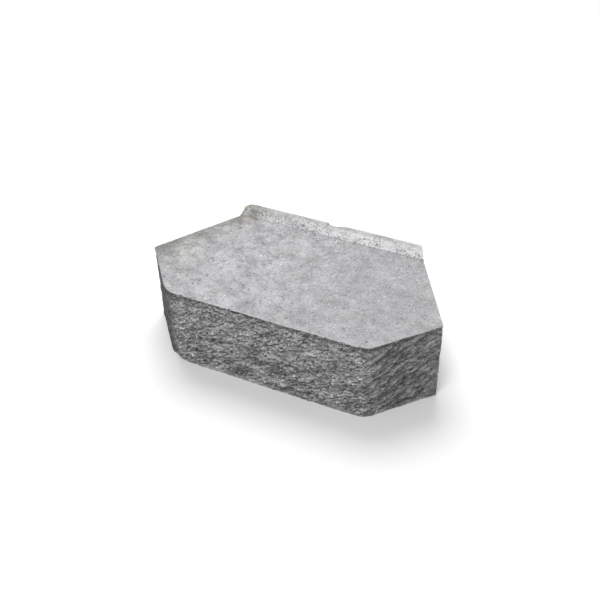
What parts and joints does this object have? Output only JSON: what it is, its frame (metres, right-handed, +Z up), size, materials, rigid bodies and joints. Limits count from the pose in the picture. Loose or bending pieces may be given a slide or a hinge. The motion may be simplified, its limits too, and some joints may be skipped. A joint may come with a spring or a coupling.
{
  "type": "retaining wall block",
  "caption": "Solid concrete retaining wall block: tapered hexagonal plan, rough split bevelled front, smooth bearing face and a low locating lip along the back edge.",
  "frame": {"origin": "on the base plane, under the middle of the block's outline", "axes": "+X along the wall, the block's longest side; -Y out of the split front, +Y out of the back; +Z up, through the bearing face that the lip stands on"},
  "size_m": [0.3706, 0.195, 0.113],
  "materials": {
    "moulded_concrete": "smooth dry-cast, fine pits",
    "lip_concrete": "coarse dry-cast, open pits",
    "split_concrete": "rough split, broken grain"
  },
  "bodies": {
    "root": {"block_body": "moulded_concrete", "rear_lip": "lip_concrete", "split_face_center": "split_concrete", "split_face_left": "split_concrete", "split_face_right": "split_concrete"}
  },
  "joints": []
}
